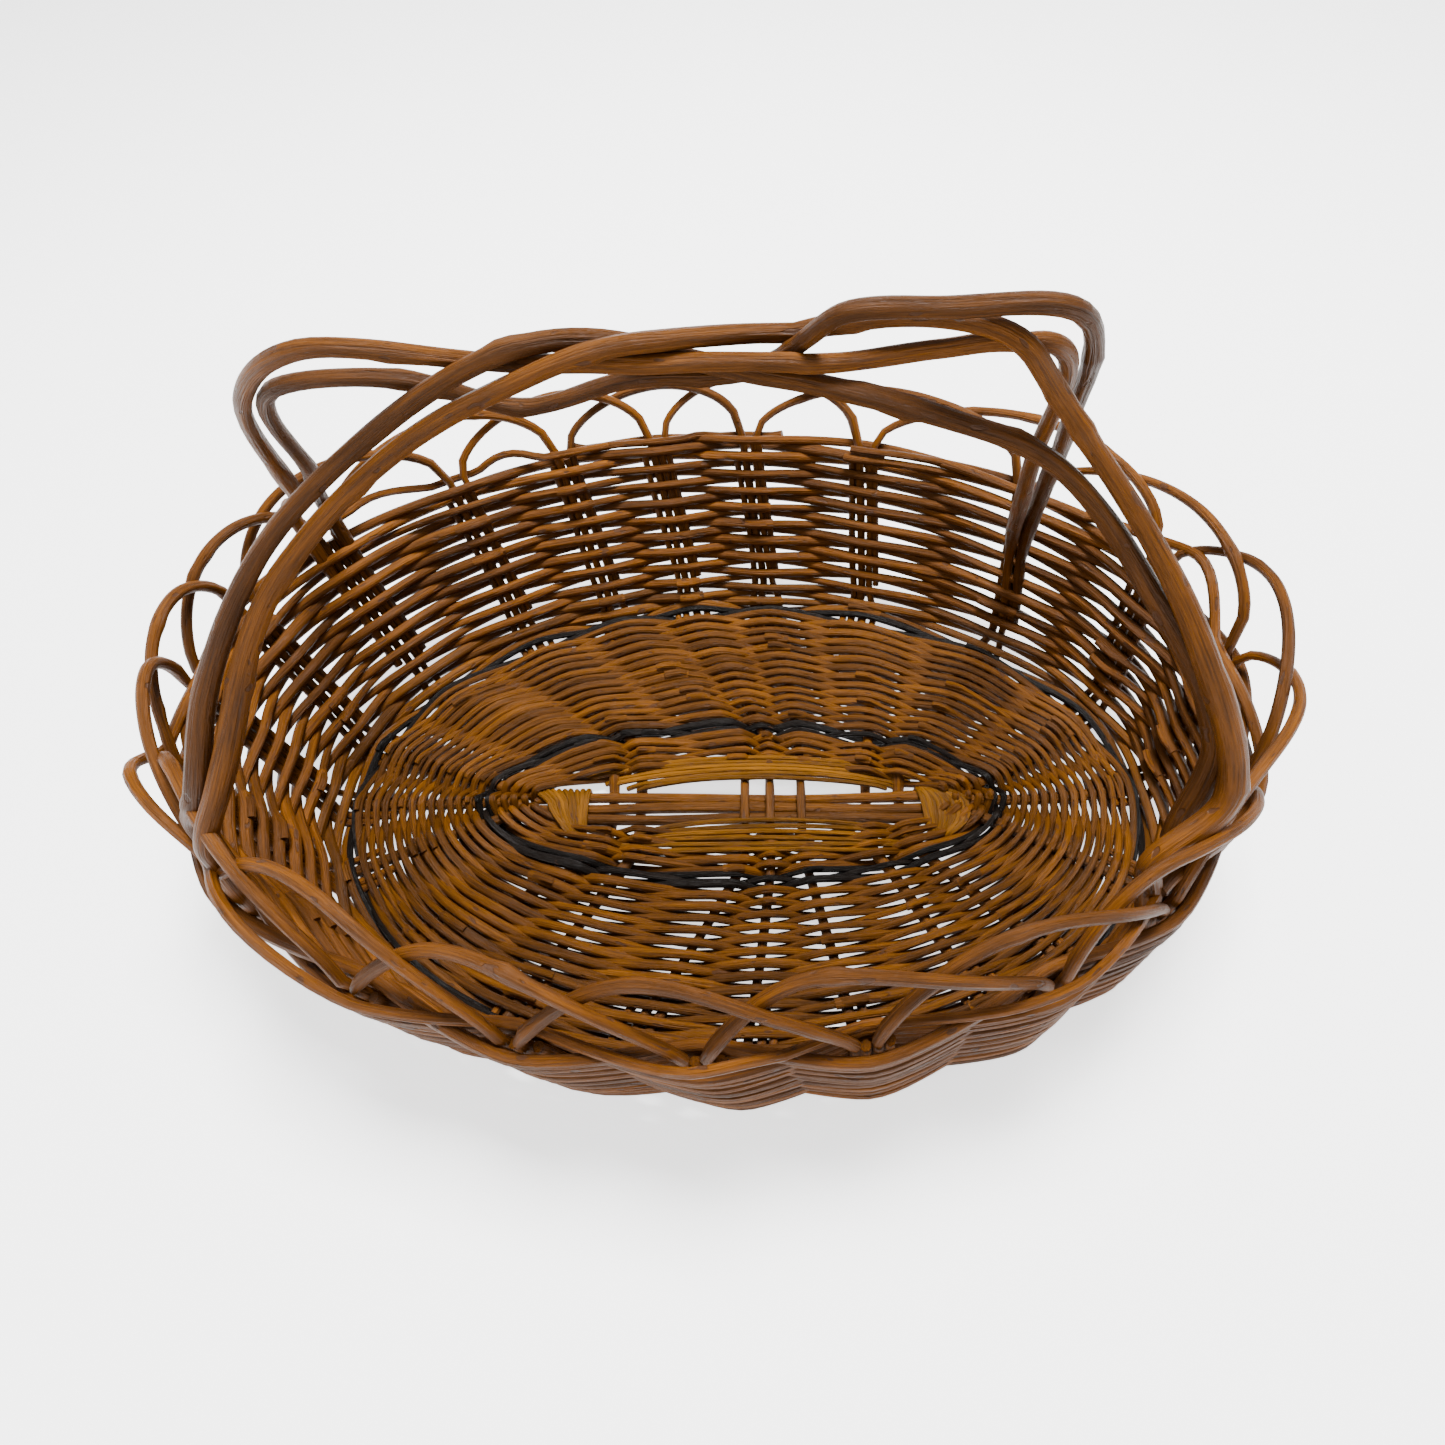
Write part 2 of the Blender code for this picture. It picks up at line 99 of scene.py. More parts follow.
# Handle rods, left foot to right foot: group and side of each foot, and the route between.
HANDLE_ROUTES = {
    "handle_rod_front_outer": (12, -1, 18, 1, (
        (-0.167, -0.078, 0.123), (-0.153, -0.057, 0.158), (-0.124, -0.035, 0.196),
        (-0.084, -0.018, 0.224), (-0.044, -0.008, 0.242), (-0.006, -0.006, 0.245),
        (0.030, -0.010, 0.239), (0.074, -0.017, 0.226), (0.107, -0.024, 0.214),
        (0.138, -0.041, 0.186), (0.171, -0.068, 0.141))),
    "handle_rod_front_inner": (12, 1, 18, -1, (
        (-0.152, -0.067, 0.143), (-0.124, -0.041, 0.186), (-0.076, -0.020, 0.221),
        (-0.037, -0.012, 0.235), (-0.001, -0.008, 0.241), (0.043, -0.005, 0.247),
        (0.077, -0.008, 0.243), (0.100, -0.015, 0.230), (0.122, -0.027, 0.210),
        (0.153, -0.051, 0.170), (0.174, -0.079, 0.122))),
    "handle_rod_back_upper": (8, 1, 2, -0.2, (
        (-0.161, 0.048, 0.144), (-0.127, 0.001, 0.223), (-0.095, -0.013, 0.247),
        (-0.050, -0.009, 0.240), (-0.020, -0.009, 0.240), (0.008, 0.000, 0.225),
        (0.042, -0.004, 0.231), (0.071, -0.012, 0.245), (0.092, -0.019, 0.257),
        (0.107, -0.008, 0.238), (0.121, 0.029, 0.172))),
    "handle_rod_back_lower": (8, -1, 2, -1, (
        (-0.139, 0.031, 0.173), (-0.116, -0.002, 0.228), (-0.076, -0.004, 0.232),
        (-0.047, 0.005, 0.216), (-0.008, -0.005, 0.233), (0.031, -0.005, 0.233),
        (0.047, -0.018, 0.255), (0.073, -0.018, 0.255), (0.104, -0.015, 0.251),
        (0.1255, 0.021, 0.193), (0.140, 0.057, 0.131))),
}
# Which handle rod crosses over which, and how far along the basket from its centre.
HANDLE_CROSSINGS = (
    ("handle_rod_front_outer", "handle_rod_back_upper", -0.087),
    ("handle_rod_back_lower", "handle_rod_front_outer", -0.100),
    ("handle_rod_front_inner", "handle_rod_back_lower", -0.088),
    ("handle_rod_front_inner", "handle_rod_back_upper", -0.035),
    ("handle_rod_back_lower", "handle_rod_back_upper", -0.042),
    ("handle_rod_front_inner", "handle_rod_front_outer", -0.025),
    ("handle_rod_back_upper", "handle_rod_back_lower", 0.012),
    ("handle_rod_back_upper", "handle_rod_front_outer", 0.020),
    ("handle_rod_back_lower", "handle_rod_front_inner", 0.045),
    ("handle_rod_front_inner", "handle_rod_back_upper", 0.073),
    ("handle_rod_front_inner", "handle_rod_front_outer", 0.160),
)
CROSSING_REACH = 0.022
# The way the upper rod is pushed at a crossing.
LIFT = (0.0, -0.5, 0.866)


def through(points, place):
    """A point on the smooth curve through points; place counts from 0 at the first point."""
    last = len(points) - 1
    start = min(max(int(math.floor(place)), 0), last - 1)
    share = place - start
    before, here = points[max(start - 1, 0)], points[start]
    there, after = points[start + 1], points[min(start + 2, last)]
    return tuple(
        b + 0.5 * share * (c - a + share * (2 * a - 5 * b + 4 * c - d
                                            + share * (3 * (b - c) + d - a)))
        for a, b, c, d in zip(before, here, there, after))


def ease(share):
    """A smooth step from 0 to 1."""
    share = min(max(share, 0.0), 1.0)
    return 0.5 - 0.5 * math.cos(math.pi * share)


def spread(first, last, count):
    """Evenly spaced numbers from first to last."""
    return [first + (last - first) * i / (count - 1) for i in range(count)]


def ring(place):
    """Half length, half width, height and lean of the ring at a place; below 0 is in the core."""
    if place >= 0.0:
        return through(PROFILE, place)
    half_length, half_width, height, lean = PROFILE[0]
    return (half_length + CORE_TAPER * place, half_width + CORE_TAPER * place, height, lean)


def core_bearing(group, place=0.0):
    """Bearing of a group where its base stick crosses a ring of the core."""
    half_length = ring(min(place, 0.0))[0]
    if group in CROSS_BACK_GROUPS:
        x = CROSS_STICK_X[CROSS_BACK_GROUPS.index(group)]
        return math.degrees(math.acos((x - BASE_LEAN[0]) / half_length))
    if group in CROSS_FRONT_GROUPS:
        x = CROSS_STICK_X[CROSS_FRONT_GROUPS.index(group)]
        return 360.0 - math.degrees(math.acos((x - BASE_LEAN[0]) / half_length))
    fan = {1: LONG_STICK_BEARING, 9: 180.0 - LONG_STICK_BEARING,
           11: 180.0 + LONG_STICK_BEARING, 19: 360.0 - LONG_STICK_BEARING}
    return fan.get(group, 180.0 if group == 10 else 0.0)


def group_bearing(group, place):
    """Bearing of a whole-numbered group: sticks fan out from the core to the rim's bearings."""
    share = min(max(place / OUTER_RING, 0.0), 1.0)
    share = share * share * (3.0 - 2.0 * share)
    turn = 360.0 * (group // GROUPS)
    start, end = core_bearing(group % GROUPS, place), GROUP_BEARINGS[group % GROUPS]
    return turn + start + share * (end - start)


def skin(bay, place):
    """A point on the basket's middle surface; bay counts the stake groups round it."""
    group = math.floor(bay)
    low, high = group_bearing(group, place), group_bearing(group + 1, place)
    angle = math.radians(low + (bay - group) * (high - low))
    half_length, half_width, height, lean = ring(place)
    height = max(height, REST_HEIGHT)
    return Vector((half_length * math.cos(angle) + lean * BASE_LEAN[0] + CENTRE.x,
                   half_width * math.sin(angle) + lean * BASE_LEAN[1] + CENTRE.y, height))


def on_basket(bay, place, out=0.0, side=0.0):
    """A point moved off the middle surface: out to the outside, side across a stake."""
    step = 0.01
    along = skin(bay + step, place) - skin(bay - step, place)
    up = skin(bay, min(place + step, RIM)) - skin(bay, min(place, RIM) - step)
    normal = along.cross(up).normalized()
    across = up.cross(normal).normalized()
    above = max(place - RIM, 0.0)
    point = skin(bay, min(place, RIM)) + up.normalized() * above
    return point + normal * out + across * side


def rim_direction(bay):
    """The way the wall points at its top, a little outwards."""
    return (skin(bay, RIM) - skin(bay, RIM - 0.5)).normalized()


def slant_places(first, last, pitch):
    """Places from first to last, pitch metres apart up the slope of the basket."""
    fine = spread(first, last, 200)
    lengths = [0.0]
    for low, high in zip(fine, fine[1:]):
        steps = [(skin(bay, high) - skin(bay, low)).length for bay in QUARTERS]
        lengths.append(lengths[-1] + sum(steps) / len(steps))
    count = max(int(round(lengths[-1] / pitch)), 1) + 1
    return [float(np.interp(lengths[-1] * i / (count - 1), lengths, fine)) for i in range(count)]


# ---- willow rods ----
# How often the bark swells round and along a rod, and how much.
SWELLS = ((1.4, 28.0, 1.0), (0.4, 70.0, 0.6), (2.2, 6.0, 0.8))
# Rods with bark this rough or rougher have knots: their spacing, length and height.
KNOTTY_BARK = 0.09
KNOT_SPACING, KNOT_LENGTH, KNOT_HEIGHT = 0.07, 0.0035, 2.6
# Sides of each kind of rod, and how rough its bark is.
WEAVER, STICK, THIN_ROD = (8, 0.07), (12, 0.10), (8, 0.10)
ARCH, STAKE, HANDLE_ROD = (10, 0.09), (8, 0.09), (16, 0.11)
# Faces that meet at a sharper angle than this, in degrees, have a crisp edge.
CRISP_ANGLE = 50


class Rod:
    """One willow rod: the line that it follows and its radius at each point."""

    def __init__(self, path, radii, sides, bark):
        self.path = [Vector(point) for point in path]
        self.radii = list(radii) if hasattr(radii, "__len__") else [radii] * len(self.path)
        self.sides = sides
        self.bark = bark


def ring_frames(rod):
    """A matrix for each ring of a rod, turned as little as possible from one to the next."""
    path = rod.path
    tangents = []
    for i in range(len(path)):
        ahead = path[min(i + 1, len(path) - 1)] - path[max(i - 1, 0)]
        tangents.append(ahead.normalized())
    frames = []
    turn = tangents[0].to_track_quat("Z", "Y")
    for i, tangent in enumerate(tangents):
        if i:
            turn = tangents[i - 1].rotation_difference(tangent) @ turn
        size = Matrix.Scale(rod.radii[i], 4)
        frames.append(Matrix.Translation(path[i]) @ turn.to_matrix().to_4x4() @ size)
    return frames


def grow(rod, dice):
    """A closed mesh for one rod, and where each vertex lies round and along the rod."""
    mesh = bmesh.new()
    frames = ring_frames(rod)
    bmesh.ops.create_circle(mesh, cap_ends=True, radius=1.0, segments=rod.sides,
                            matrix=frames[0])
    edges = list(mesh.edges)
    for before, after in zip(frames, frames[1:]):
        made = bmesh.ops.extrude_edge_only(mesh, edges=edges)["geom"]
        verts = [part for part in made if isinstance(part, bmesh.types.BMVert)]
        edges = [part for part in made if isinstance(part, bmesh.types.BMEdge)]
        bmesh.ops.transform(mesh, matrix=after @ before.inverted(), verts=verts)
    bmesh.ops.edgeloop_fill(mesh, edges=edges)
    bmesh.ops.recalc_face_normals(mesh, faces=mesh.faces)
    mesh.verts.index_update()
    run = [0.0]
    for low, high in zip(rod.path, rod.path[1:]):
        run.append(run[-1] + (high - low).length)
    start = dice.uniform(0.0, 40.0)
    knots = int(run[-1] / KNOT_SPACING) if rod.bark >= KNOTTY_BARK else 0
    knots = [(dice.uniform(0.0, run[-1]), dice.uniform(0.0, 6.28)) for _ in range(knots)]
    grain = []
    for vert in mesh.verts:
        level = vert.index // rod.sides
        local = frames[level].inverted() @ vert.co
        around = math.atan2(local.y, local.x)
        place = Vector((math.cos(around), math.sin(around), start + run[level]))
        swell = 0.0
        for round_it, along_it, share in SWELLS:
            swell += share * noise.noise(Vector((place.x * round_it, place.y * round_it,
                                                 place.z * along_it)))
        for height, side in knots:
            gap = (run[level] - height) / KNOT_LENGTH
            if abs(gap) < 3.0:
                lopsided = 0.55 + 0.45 * math.cos(around - side)
                swell += KNOT_HEIGHT * math.exp(-gap * gap) * lopsided
        vert.co += (vert.co - rod.path[level]) * (swell * rod.bark)
        grain.append(place)
    return mesh, grain


def willow_piece(node, ending, rods, kind):
    """One object holding several rods of one finish, which stands for a CAD node."""
    piece_name = f"{node}_{ending}"
    dice = random.Random(node)
    whole = bmesh.new()
    grain, tints = [], []
    for rod in rods:
        mesh, places = grow(rod, dice)
        part = bpy.data.meshes.new("part")
        mesh.to_mesh(part)
        mesh.free()
        whole.from_mesh(part)
        bpy.data.meshes.remove(part)
        tint = (dice.random(), dice.random(), dice.random())
        grain.extend(places)
        tints.extend([tint] * len(places))
    if not rods or any(edge.is_boundary for edge in whole.edges):
        raise RuntimeError(f"{piece_name} has no rods, or a rod that isn't closed")
    data = bpy.data.meshes.new(piece_name)
    whole.to_mesh(data)
    whole.free()
    for name, values in (("grain", grain), ("tint", tints)):
        layer = data.attributes.new(name, "FLOAT_VECTOR", "POINT")
        layer.data.foreach_set("vector", [number for value in values for number in value])
    data.shade_smooth()
    data.set_sharp_from_angle(angle=math.radians(CRISP_ANGLE))
    data.materials.append(finish(kind))
    piece = bpy.data.objects.new(piece_name, data)
    bpy.context.scene.collection.objects.link(piece)
    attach(piece, "root")
    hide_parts(node)
    return piece


# ---- materials ----
# Patterns on the bark: how often each changes round and along the rod, its detail, and the two
# levels that it is spread between. A knot's levels differ from finish to finish.
STREAKS = (2.2, 26.0, 5.0, 0.34, 0.66)
FIBRES = (7.0, 60.0, 4.0, 0.30, 0.70)
BLOTCHES = (0.7, 34.0, 3.0, 0.40, 0.68)
KNOTS = (0.9, 120.0, 1.0)
KNOT_EDGE = 0.05
KNOT_COLOUR = (0.05, 0.02, 0.008)
# Moves the patterns on from rod to rod.
TINT_SHIFT = 60.0
BARK_STRENGTH, BARK_DEPTH = 0.8, 0.0006
VARNISH_SHINE = 0.14


class Mark:
    """A number, colour or vector in a material, which sums and products can use."""

    def __init__(self, board, socket):
        self.board = board
        self.socket = socket

    def sum_with(self, operation, other, turned=False):
        """A Math node on this and another value, the other way round if turned."""
        pair = (other, self) if turned else (self, other)
        return self.board.node("ShaderNodeMath", {"operation": operation}, dict(enumerate(pair)))

    def __add__(self, other):
        return self.sum_with("ADD", other)

    __radd__ = __add__

    def __sub__(self, other):
        return self.sum_with("SUBTRACT", other)

    def __rsub__(self, other):
        return self.sum_with("SUBTRACT", other, True)

    def __mul__(self, other):
        return self.sum_with("MULTIPLY", other)

    __rmul__ = __mul__


class Board:
    """The nodes of one willow finish."""

    def __init__(self, finish_name):
        self.material = bpy.data.materials.new(finish_name)
        self.material.use_nodes = True
        self.tree = self.material.node_tree
        self.shader = self.tree.nodes["Principled BSDF"]

    def node(self, kind, settings=None, inputs=None, output=0):
        """Adds a node: its settings first, then the values or links of its sockets."""
        made = self.tree.nodes.new(kind)
        for key, value in (settings or {}).items():
            setattr(made, key, value)
        for key, value in (inputs or {}).items():
            self.feed(made.inputs[key], value)
        return Mark(self, made.outputs[output])

    def feed(self, socket, value):
        """Links a mark to a socket, or sets the socket to a number or a colour."""
        if isinstance(value, Mark):
            self.tree.links.new(value.socket, socket)
        elif isinstance(value, tuple) and socket.type == "RGBA":
            socket.default_value = (*value, 1.0)
        else:
            socket.default_value = value

    def blend(self, share, low, high, way="MIX"):
        """Two colours mixed by a share from 0 to 1."""
        return self.node("ShaderNodeMix", {"data_type": "RGBA", "blend_type": way},
                         {0: share, 6: low, 7: high}, 2)

    def pattern(self, grain, shift, around, along, detail, low, high):
        """Noise scaled round and along the rod, moved on for each rod, between two levels."""
        scaled = self.node("ShaderNodeVectorMath", {"operation": "MULTIPLY"},
                           {0: grain, 1: (around, around, along)})
        moved = self.node("ShaderNodeVectorMath", {"operation": "ADD"}, {0: scaled, 1: shift})
        grey = self.node("ShaderNodeTexNoise", {"noise_dimensions": "3D"},
                         {"Vector": moved, "Scale": 1.0, "Detail": detail, "Roughness": 0.6})
        return self.node("ShaderNodeMapRange", {"interpolation_type": "SMOOTHSTEP"},
                         {0: grey, 1: low, 2: high})


def willow(finish_name, light, mid, deep, spots, matt):
    """Varnished willow: long streaks, blotches, a few dark knots and a tone for each rod."""
    board = Board(finish_name)
    grain = board.node("ShaderNodeAttribute", {"attribute_name": "grain"}, output="Vector")
    tint = board.node("ShaderNodeAttribute", {"attribute_name": "tint"}, output="Vector")
    shift = board.node("ShaderNodeVectorMath", {"operation": "SCALE"},
                       {0: tint, "Scale": TINT_SHIFT})
    tone = board.node("ShaderNodeSeparateXYZ", None, {0: tint}, 0)
    warmth = board.node("ShaderNodeSeparateXYZ", None, {0: tint}, 1)
    streak = board.pattern(grain, shift, *STREAKS)
    fine = board.pattern(grain, shift, *FIBRES)
    blotch = board.pattern(grain, shift, *BLOTCHES)
    knot = board.pattern(grain, shift, *KNOTS, spots, spots + KNOT_EDGE)
    body = board.blend(streak * 0.8 + 0.2, deep, mid)
    body = board.blend(fine * (warmth * 0.5 + 0.35), body, light)
    body = board.blend(blotch * 0.5, body, deep)
    shade = tone * 0.55 + 0.70
    grey = board.node("ShaderNodeCombineXYZ", None, {0: shade, 1: shade, 2: shade})
    body = board.blend(1.0, body, grey, "MULTIPLY")
    body = board.blend(knot * 0.85, body, KNOT_COLOUR)
    board.feed(board.shader.inputs["Base Color"], body)
    board.feed(board.shader.inputs["Roughness"], fine * 0.18 + (matt - knot * 0.05))
    height = streak * 0.5 + fine * 0.35 - knot * 0.8
    bump = board.node("ShaderNodeBump", None, {"Strength": BARK_STRENGTH,
                                               "Distance": BARK_DEPTH, "Height": height})
    board.feed(board.shader.inputs["Normal"], bump)
    board.shader.inputs["Specular IOR Level"].default_value = VARNISH_SHINE
    return board.material


# ---- sizes and colours that a user can change ----
class WillowSizes(bpy.types.PropertyGroup):
    """Thickness and spacing of the basket's rods."""
    wall_weaver: FloatProperty(
        name="Wall weaver", description="Thickness of the rods woven round the wall",
        default=0.0048, min=0.001, max=0.01, subtype="DISTANCE", unit="LENGTH")
    base_weaver: FloatProperty(
        name="Base weaver", description="Thickness of the rods woven round the base",
        default=0.0039, min=0.001, max=0.01, subtype="DISTANCE", unit="LENGTH")
    wall_pitch: FloatProperty(
        name="Wall row pitch", description="Height of one row of the wall",
        default=0.0043, min=0.002, max=0.02, subtype="DISTANCE", unit="LENGTH")
    base_pitch: FloatProperty(
        name="Base row pitch", description="Width of one row of the base",
        default=0.0027, min=0.002, max=0.02, subtype="DISTANCE", unit="LENGTH")
    swing: FloatProperty(
        name="Swing", description="How far a weaver passes inside or outside the stakes",
        default=0.0051, min=0.001, max=0.01, subtype="DISTANCE", unit="LENGTH")
    stake: FloatProperty(
        name="Stake", description="Thickness of the stakes and border arches",
        default=0.0044, min=0.001, max=0.01, subtype="DISTANCE", unit="LENGTH")
    arch_height: FloatProperty(
        name="Arch height", description="Height of the border arches above the top row",
        default=0.029, min=0.005, max=0.06, subtype="DISTANCE", unit="LENGTH")
    steps: IntProperty(
        name="Steps to a bay", description="How finely a weaver bends between two stakes",
        default=12, min=6, max=24)


class WillowColours(bpy.types.PropertyGroup):
    """Colours of the basket's finishes."""
    honey: FloatVectorProperty(
        name="Honey", description="Base weavers and sticks", subtype="COLOR",
        default=(0.088, 0.0285, 0.0008), min=0.0, max=1.0)
    golden: FloatVectorProperty(
        name="Golden", description="Core wraps and packing", subtype="COLOR",
        default=(0.130, 0.048, 0.0012), min=0.0, max=1.0)
    russet: FloatVectorProperty(
        name="Russet", description="Wall weavers and stakes", subtype="COLOR",
        default=(0.104, 0.032, 0.0010), min=0.0, max=1.0)
    chestnut: FloatVectorProperty(
        name="Chestnut", description="Handle rods", subtype="COLOR",
        default=(0.082, 0.0255, 0.0010), min=0.0, max=1.0)
    soot: FloatVectorProperty(
        name="Soot", description="The two dark rings", subtype="COLOR",
        default=(0.005, 0.0032, 0.0022), min=0.0, max=1.0)


def sizes():
    """The sizes set in the panel."""
    return bpy.context.scene.willow_sizes


def colours():
    """The colours set in the panel."""
    return bpy.context.scene.willow_colours


def shaded(colour, factor):
    """A lighter or deeper tone of a colour."""
    return tuple(min(part * factor, 1.0) for part in colour)


# A finish's lightest and deepest tones, against its own colour.
LIGHTEST, DEEPEST = 1.8, 0.30
# For each finish, where its knots start (a higher level has fewer) and how matt its varnish is.
KNOT_LEVELS = {"honey": 0.67, "golden": 0.67, "russet": 0.67, "chestnut": 0.67, "soot": 0.72}
MATTNESS = {"honey": 0.40, "golden": 0.40, "russet": 0.40, "chestnut": 0.34, "soot": 0.34}


def finish(kind):
    """The named willow finish, made once."""
    made = bpy.data.materials.get(f"willow_{kind}")
    if made:
        return made
    mid = tuple(getattr(colours(), kind))
    return willow(f"willow_{kind}", shaded(mid, LIGHTEST), mid, shaded(mid, DEEPEST),
                  KNOT_LEVELS[kind], MATTNESS[kind])


# ---- weaving ----
# How sharply a weaver bends at the stakes: 0 is a plain wave, 1 a zigzag.
BEND = 0.93
# How far before and past a stake group a weaver starts and ends, in bays.
BUTT_LAP, TIP_LAP = 0.13, 0.16
# A weaver's tip steps inwards: where, over how many bays, and by how many radii.
TIP_START, TIP_RUN, TIP_STEP = 0.34, 0.24, 1.1
# A weaver's thickness at its butt, its loss towards the tip, and how the loss is spread.
BUTT, TIP_LOSS, TIP_CURVE = 1.08, 0.30, 1.5
# Limits on how much thinner or thicker a weaver is where rows lie closer or wider than usual.
CLOSE_ROWS, WIDE_ROWS = 0.85, 1.27
# How unevenly weavers pass the stakes, and their wander up and down the basket, in metres.
SWING_PLAY = 0.16
WALL_WANDER, BASE_WANDER, SPARE_WANDER = 0.0010, 0.0008, 0.0006
# Shortest and longest weaver of the wall and of the base, in bays; the longest isn't reached.
WALL_LENGTHS, BASE_LENGTHS = (8, 13), (8, 15)
# Two short spare weavers above the top row: first bay, last bay and place above the rim.
SPARE_WEAVERS = ((3.7, 5.9, 0.0042), (1.9, 3.1, 0.0040))


def wave(turn):
    """From 1 to -1 and back every two bays, nearly straight between the stakes."""
    return math.asin(BEND * math.cos(math.pi * turn)) / math.asin(BEND)


def drift(bay, place, seed):
    """A slow wander shared by neighbouring rows."""
    angle = 2.0 * math.pi * bay / GROUPS
    return noise.noise(Vector((math.cos(angle) * 2.6, math.sin(angle) * 2.6, place * 1.2 + seed)))


def row_step(bay, place):
    """Metres up the basket for each unit of place."""
    step, least = 0.05, 0.005
    low = min(place, RIM - step)
    return max((skin(bay, low + step) - skin(bay, low)).length / step, least)


def weaver(first_bay, last_bay, place, phase, radius, swing, dice, wander):
    """One rod of a row, thick at its butt and thin at its tip."""
    count = int((last_bay - first_bay) * sizes().steps) + 1
    path, radii = [], []
    own = dice.uniform(0.0, 50.0)
    usual = sum(row_step(side, place) for side in QUARTERS) / len(QUARTERS)
    for i in range(count):
        share = i / (count - 1)
        bay = first_bay + (last_bay - first_bay) * share
        near_end = ease((bay - (last_bay - TIP_START)) / TIP_RUN)
        play = 1.0 + SWING_PLAY * noise.noise(Vector((bay * 0.9, own, 0.0)))
        out = swing * wave(bay + phase) * play
        out -= radius * TIP_STEP * near_end
        rise = wander * drift(bay, place, 3.0)
        rise += 0.5 * wander * noise.noise(Vector((bay * 1.3, own, 7.0)))
        local = row_step(bay, place)
        path.append(on_basket(bay, place + rise / local, out))
        taper = BUTT - TIP_LOSS * share ** TIP_CURVE
        radii.append(radius * (taper * min(max(local / usual, CLOSE_ROWS), WIDE_ROWS)))
    return Rod(path, radii, *WEAVER)


def row(place, phase, radius, swing, dice, wander, lengths):
    """A full row: rods laid end to end, each starting beside the tip of the last."""
    start = dice.randrange(GROUPS)
    if (start + phase) % 2 == 0:
        start += 1
    end = start + GROUPS
    rods = []
    bay = start
    while bay < end:
        length = dice.randrange(lengths[0], lengths[1], 2)
        stop = bay + length if end - (bay + length) >= lengths[0] - 2 else end
        rods.append(weaver(bay - BUTT_LAP, stop + TIP_LAP, place, phase, radius, swing, dice,
                           wander))
        bay = stop
    return rods


def woven_rows(places, first_phase, radius, swing, seed, wander, lengths):
    """Rows one above another, each passing the stakes the other way from the last."""
    dice = random.Random(seed)
    rods = []
    for number, place in enumerate(places):
        thick = radius * dice.uniform(0.90, 1.08)
        rods += row(place, (number + first_phase) % 2, thick, swing, dice, wander, lengths)
    return rods


# Ends of a long stick's straight part, and half a cross stick's, from the middle of the core.
LONG_STICK_CORE = (-0.098, 0.102)
CROSS_STICK_CORE = 0.021
# A cross stick is level this far from the middle, then settles to the weave over the next stretch.
LEVEL_REACH, SETTLE_REACH = 0.0085, 0.0115


class WILLOW_OT_base_sticks(bpy.types.Operator):
    """Three long sticks and seven cross sticks."""
    bl_idname = "willow.base_sticks"
    bl_label = "Base sticks"

    def execute(self, context):
        for number, side in enumerate(("front", "middle", "back")):
            willow_piece(f"long_stick_{side}", "rod", [self.long_stick(number)], "honey")
        for number in range(len(CROSS_STICK_X)):
            willow_piece(f"cross_stick_{number + 1}", "rod", [self.cross_stick(number)], "honey")
        return {"FINISHED"}

    def long_stick(self, number):
        """A stick along the core, whose ends fan out under the weave."""
        middle = CORE_MIDDLE
        y = middle.y + (number - 1) * STICK_PITCH
        left = [on_basket(LONG_LEFT_GROUPS[number], place)
                for place in spread(STICK_END, 0.0, 8)]
        right = [on_basket(LONG_RIGHT_GROUPS[number], place)
                 for place in spread(0.0, STICK_END, 8)]
        core = []
        for x in spread(*LONG_STICK_CORE, 14):
            bend = 0.0006 * math.sin(x * 40.0 + number * 2.0)
            core.append(Vector((middle.x + x, y + bend, middle.z)))
        path = left + core + right
        swell = [STICK_RADIUS * (1.06 + 0.05 * math.sin(i * 0.9 + number))
                 for i in range(len(path))]
        return Rod(path, swell, *STICK)

    def cross_stick(self, number):
        """A stick from front to back, which passes over or under the long sticks."""
        way = 1.0 if CROSS_STICK_OVER[number] else -1.0
        lift = 2.0 * STICK_RADIUS
        front = [on_basket(CROSS_FRONT_GROUPS[number], place)
                 for place in spread(STICK_END, 0.0, 8)]
        back = [on_basket(CROSS_BACK_GROUPS[number], place)
                for place in spread(0.0, STICK_END, 8)]
        core = []
        for y in spread(-CROSS_STICK_CORE, CROSS_STICK_CORE, 13):
            share = ease((abs(y) - LEVEL_REACH) / SETTLE_REACH)
            height = CORE_MIDDLE.z + way * lift * (1.0 - share)
            core.append(Vector((CROSS_STICK_X[number] + CENTRE.x, CORE_MIDDLE.y + y, height)))
        path = front + core + back
        thick = STICK_RADIUS * (0.86 if CROSS_STICK_OVER[number] else 1.04)
        swell = [thick * (1.0 + 0.05 * math.sin(i * 1.1 + number)) for i in range(len(path))]
        return Rod(path, swell, *STICK)


WRAP_RADIUS, WRAP_TURNS, WRAP_GAP = 0.00138, 10, 0.0016
# Each wrap, from the middle of the core: where its first and last turns cross the back and the
# front of the long sticks, and how far they bow between.
WRAPS = (
    ("core_wrap_left", (-0.0735, -0.1010), (-0.0740, -0.0800), 0.0),
    ("core_wrap_right", (0.0860, 0.0925), (0.0905, 0.0985), 0.0125),
)
# Each packing, from the middle of the core: side, ends of its first rod, and the reach of its
# first and last rods halfway along and at their ends.
PACKINGS = (
    ("core_packing_back", 1.0, (-0.050, 0.072), (0.0125, 0.0250), (0.0115, 0.0190)),
    ("core_packing_front", -1.0, (-0.046, 0.078), (0.0105, 0.0245), (0.0120, 0.0215)),
)
PACKING_RADIUS, PACKING_LANES, PACKING_POINTS = 0.00122, 6, 30


